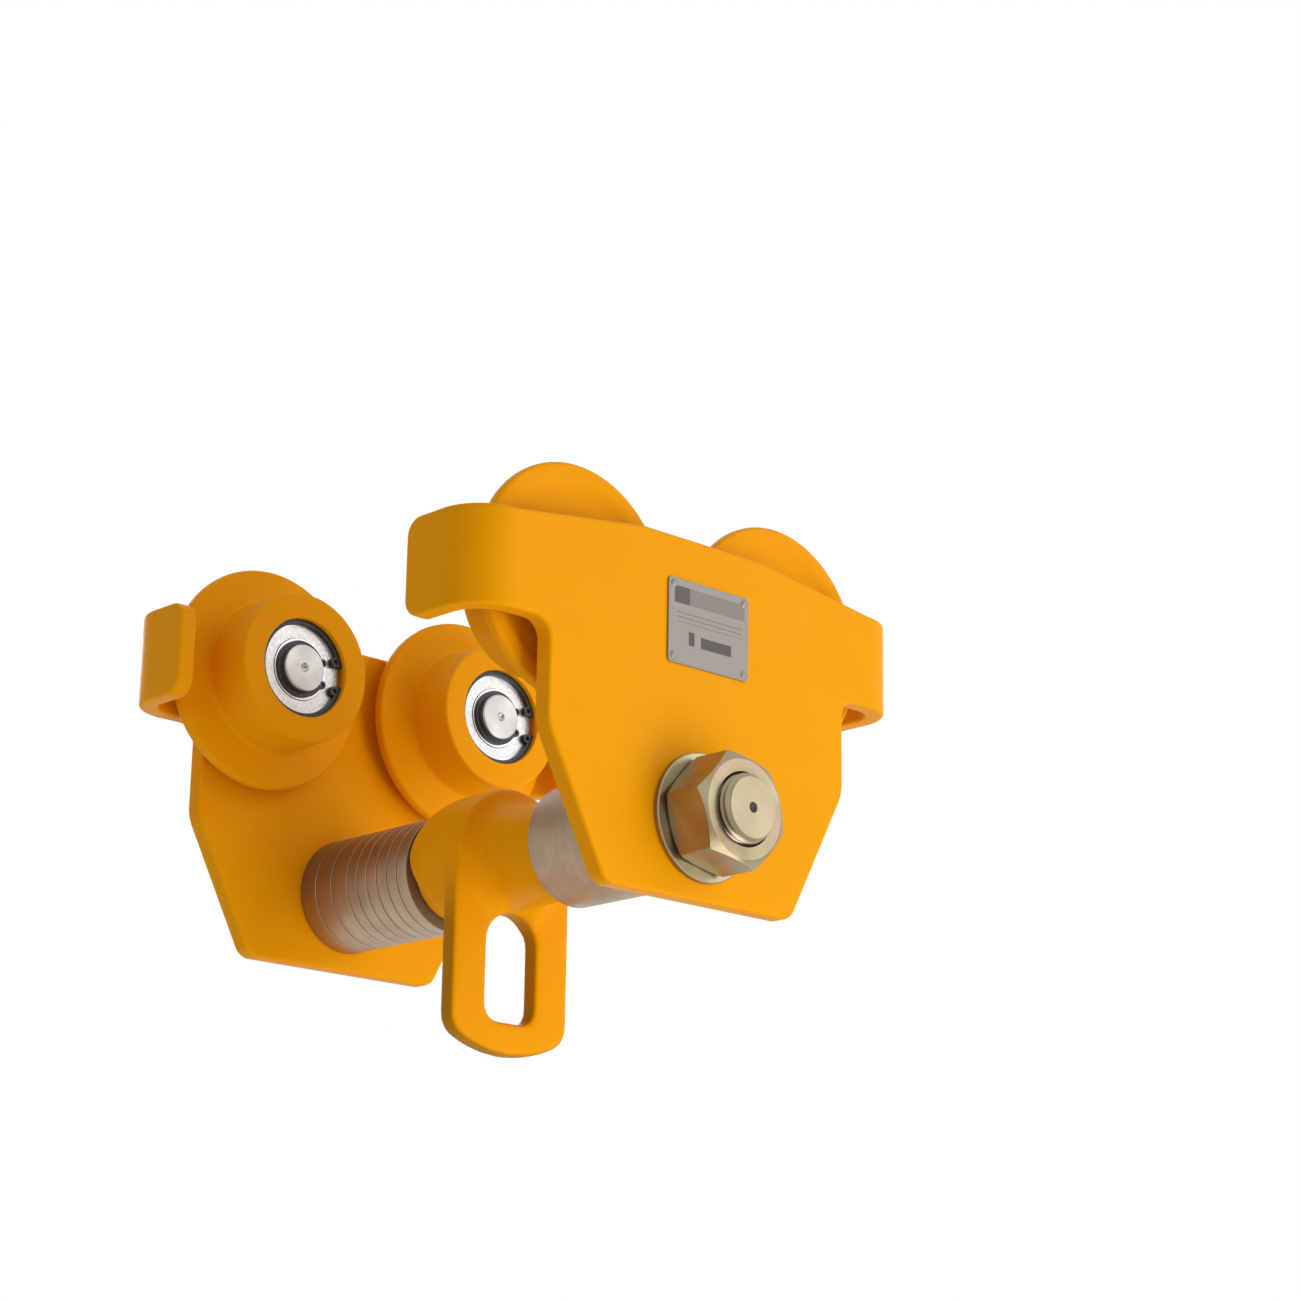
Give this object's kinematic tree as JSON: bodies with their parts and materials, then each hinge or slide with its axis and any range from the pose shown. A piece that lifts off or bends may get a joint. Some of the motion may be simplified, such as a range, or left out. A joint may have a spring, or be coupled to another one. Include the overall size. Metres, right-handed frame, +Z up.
{
  "type": "push beam trolley",
  "caption": "Manual trolley that rolls on the lower flange of an I-beam, with bent side plates, flanged wheels on ball bearings and a swinging lug for a hoist.",
  "frame": {"origin": "middle of the surface that the wheels run on, which is the top of the beam's lower flange, halfway between the side plates and between the axles", "axes": "+X along the beam, +Y across it towards the far side plate, the rating plate being at -Y, +Z up"},
  "size_m": [0.2846, 0.3472, 0.2605],
  "materials": {
    "yellow_paint": "gloss enamel",
    "turned_steel": "turned",
    "bearing_steel": "ground",
    "ball_steel": "polished",
    "cage_plastic": "moulded",
    "shield_steel": "rolled",
    "spring_steel": "phosphated",
    "bar_steel": "zinc plated",
    "ring_steel": "zinc plated, dull",
    "plated_steel": "yellow passivated zinc",
    "tag_aluminium": "printed, satin"
  },
  "bodies": {
    "frame": {"side_plate_near": "yellow_paint", "side_plate_far": "yellow_paint", "axle_near_left": "turned_steel", "axle_near_right": "turned_steel", "axle_far_left": "turned_steel", "axle_far_right": "turned_steel", "bearing_inner_ring_near_left": "bearing_steel", "bearing_inner_ring_near_right": "bearing_steel", "bearing_inner_ring_far_left": "bearing_steel", "bearing_inner_ring_far_right": "bearing_steel", "axle_circlip_near_left": "spring_steel", "axle_circlip_near_right": "spring_steel", "axle_circlip_far_left": "spring_steel", "axle_circlip_far_right": "spring_steel", "load_bar": "bar_steel", "spacer_sleeve": "ring_steel", "wide_ring_1": "ring_steel", "wide_ring_2": "ring_steel", "wide_ring_3": "ring_steel", "narrow_ring_1": "ring_steel", "narrow_ring_2": "ring_steel", "narrow_ring_3": "ring_steel", "narrow_ring_4": "ring_steel", "narrow_ring_5": "ring_steel", "narrow_ring_6": "ring_steel", "washer_near": "plated_steel", "washer_far": "plated_steel", "nut_near": "plated_steel", "nut_far": "plated_steel", "rating_plate": "tag_aluminium", "tag_rivets": "tag_aluminium"},
    "wheel_set_near_left": {"wheel_near_left": "yellow_paint", "bearing_outer_ring_near_left": "bearing_steel", "bearing_balls_near_left": "ball_steel", "bearing_cage_near_left": "cage_plastic", "bearing_shields_near_left": "shield_steel", "bore_circlip_near_left": "spring_steel"},
    "wheel_set_near_right": {"wheel_near_right": "yellow_paint", "bearing_outer_ring_near_right": "bearing_steel", "bearing_balls_near_right": "ball_steel", "bearing_cage_near_right": "cage_plastic", "bearing_shields_near_right": "shield_steel", "bore_circlip_near_right": "spring_steel"},
    "wheel_set_far_left": {"wheel_far_left": "yellow_paint", "bearing_outer_ring_far_left": "bearing_steel", "bearing_balls_far_left": "ball_steel", "bearing_cage_far_left": "cage_plastic", "bearing_shields_far_left": "shield_steel", "bore_circlip_far_left": "spring_steel"},
    "wheel_set_far_right": {"wheel_far_right": "yellow_paint", "bearing_outer_ring_far_right": "bearing_steel", "bearing_balls_far_right": "ball_steel", "bearing_cage_far_right": "cage_plastic", "bearing_shields_far_right": "shield_steel", "bore_circlip_far_right": "spring_steel"},
    "lug": {"load_lug": "yellow_paint"}
  },
  "joints": [
    {"name": "wheel_near_left_spin", "type": "hinge", "parent": "frame", "child": "wheel_set_near_left", "pos_m": [-0.0666, -0.1041, 0.04], "axis": [0, 1, 0], "continuous": true},
    {"name": "wheel_near_right_spin", "type": "hinge", "parent": "frame", "child": "wheel_set_near_right", "pos_m": [0.0666, -0.1041, 0.04], "axis": [0, 1, 0], "continuous": true},
    {"name": "wheel_far_left_spin", "type": "hinge", "parent": "frame", "child": "wheel_set_far_left", "pos_m": [-0.0666, 0.1041, 0.04], "axis": [0, 1, 0], "continuous": true},
    {"name": "wheel_far_right_spin", "type": "hinge", "parent": "frame", "child": "wheel_set_far_right", "pos_m": [0.0666, 0.1041, 0.04], "axis": [0, 1, 0], "continuous": true},
    {"name": "lug_swing", "type": "hinge", "parent": "frame", "child": "lug", "pos_m": [0, 0, -0.0643], "axis": [0, 1, 0], "range_deg": [-90, 90]}
  ]
}
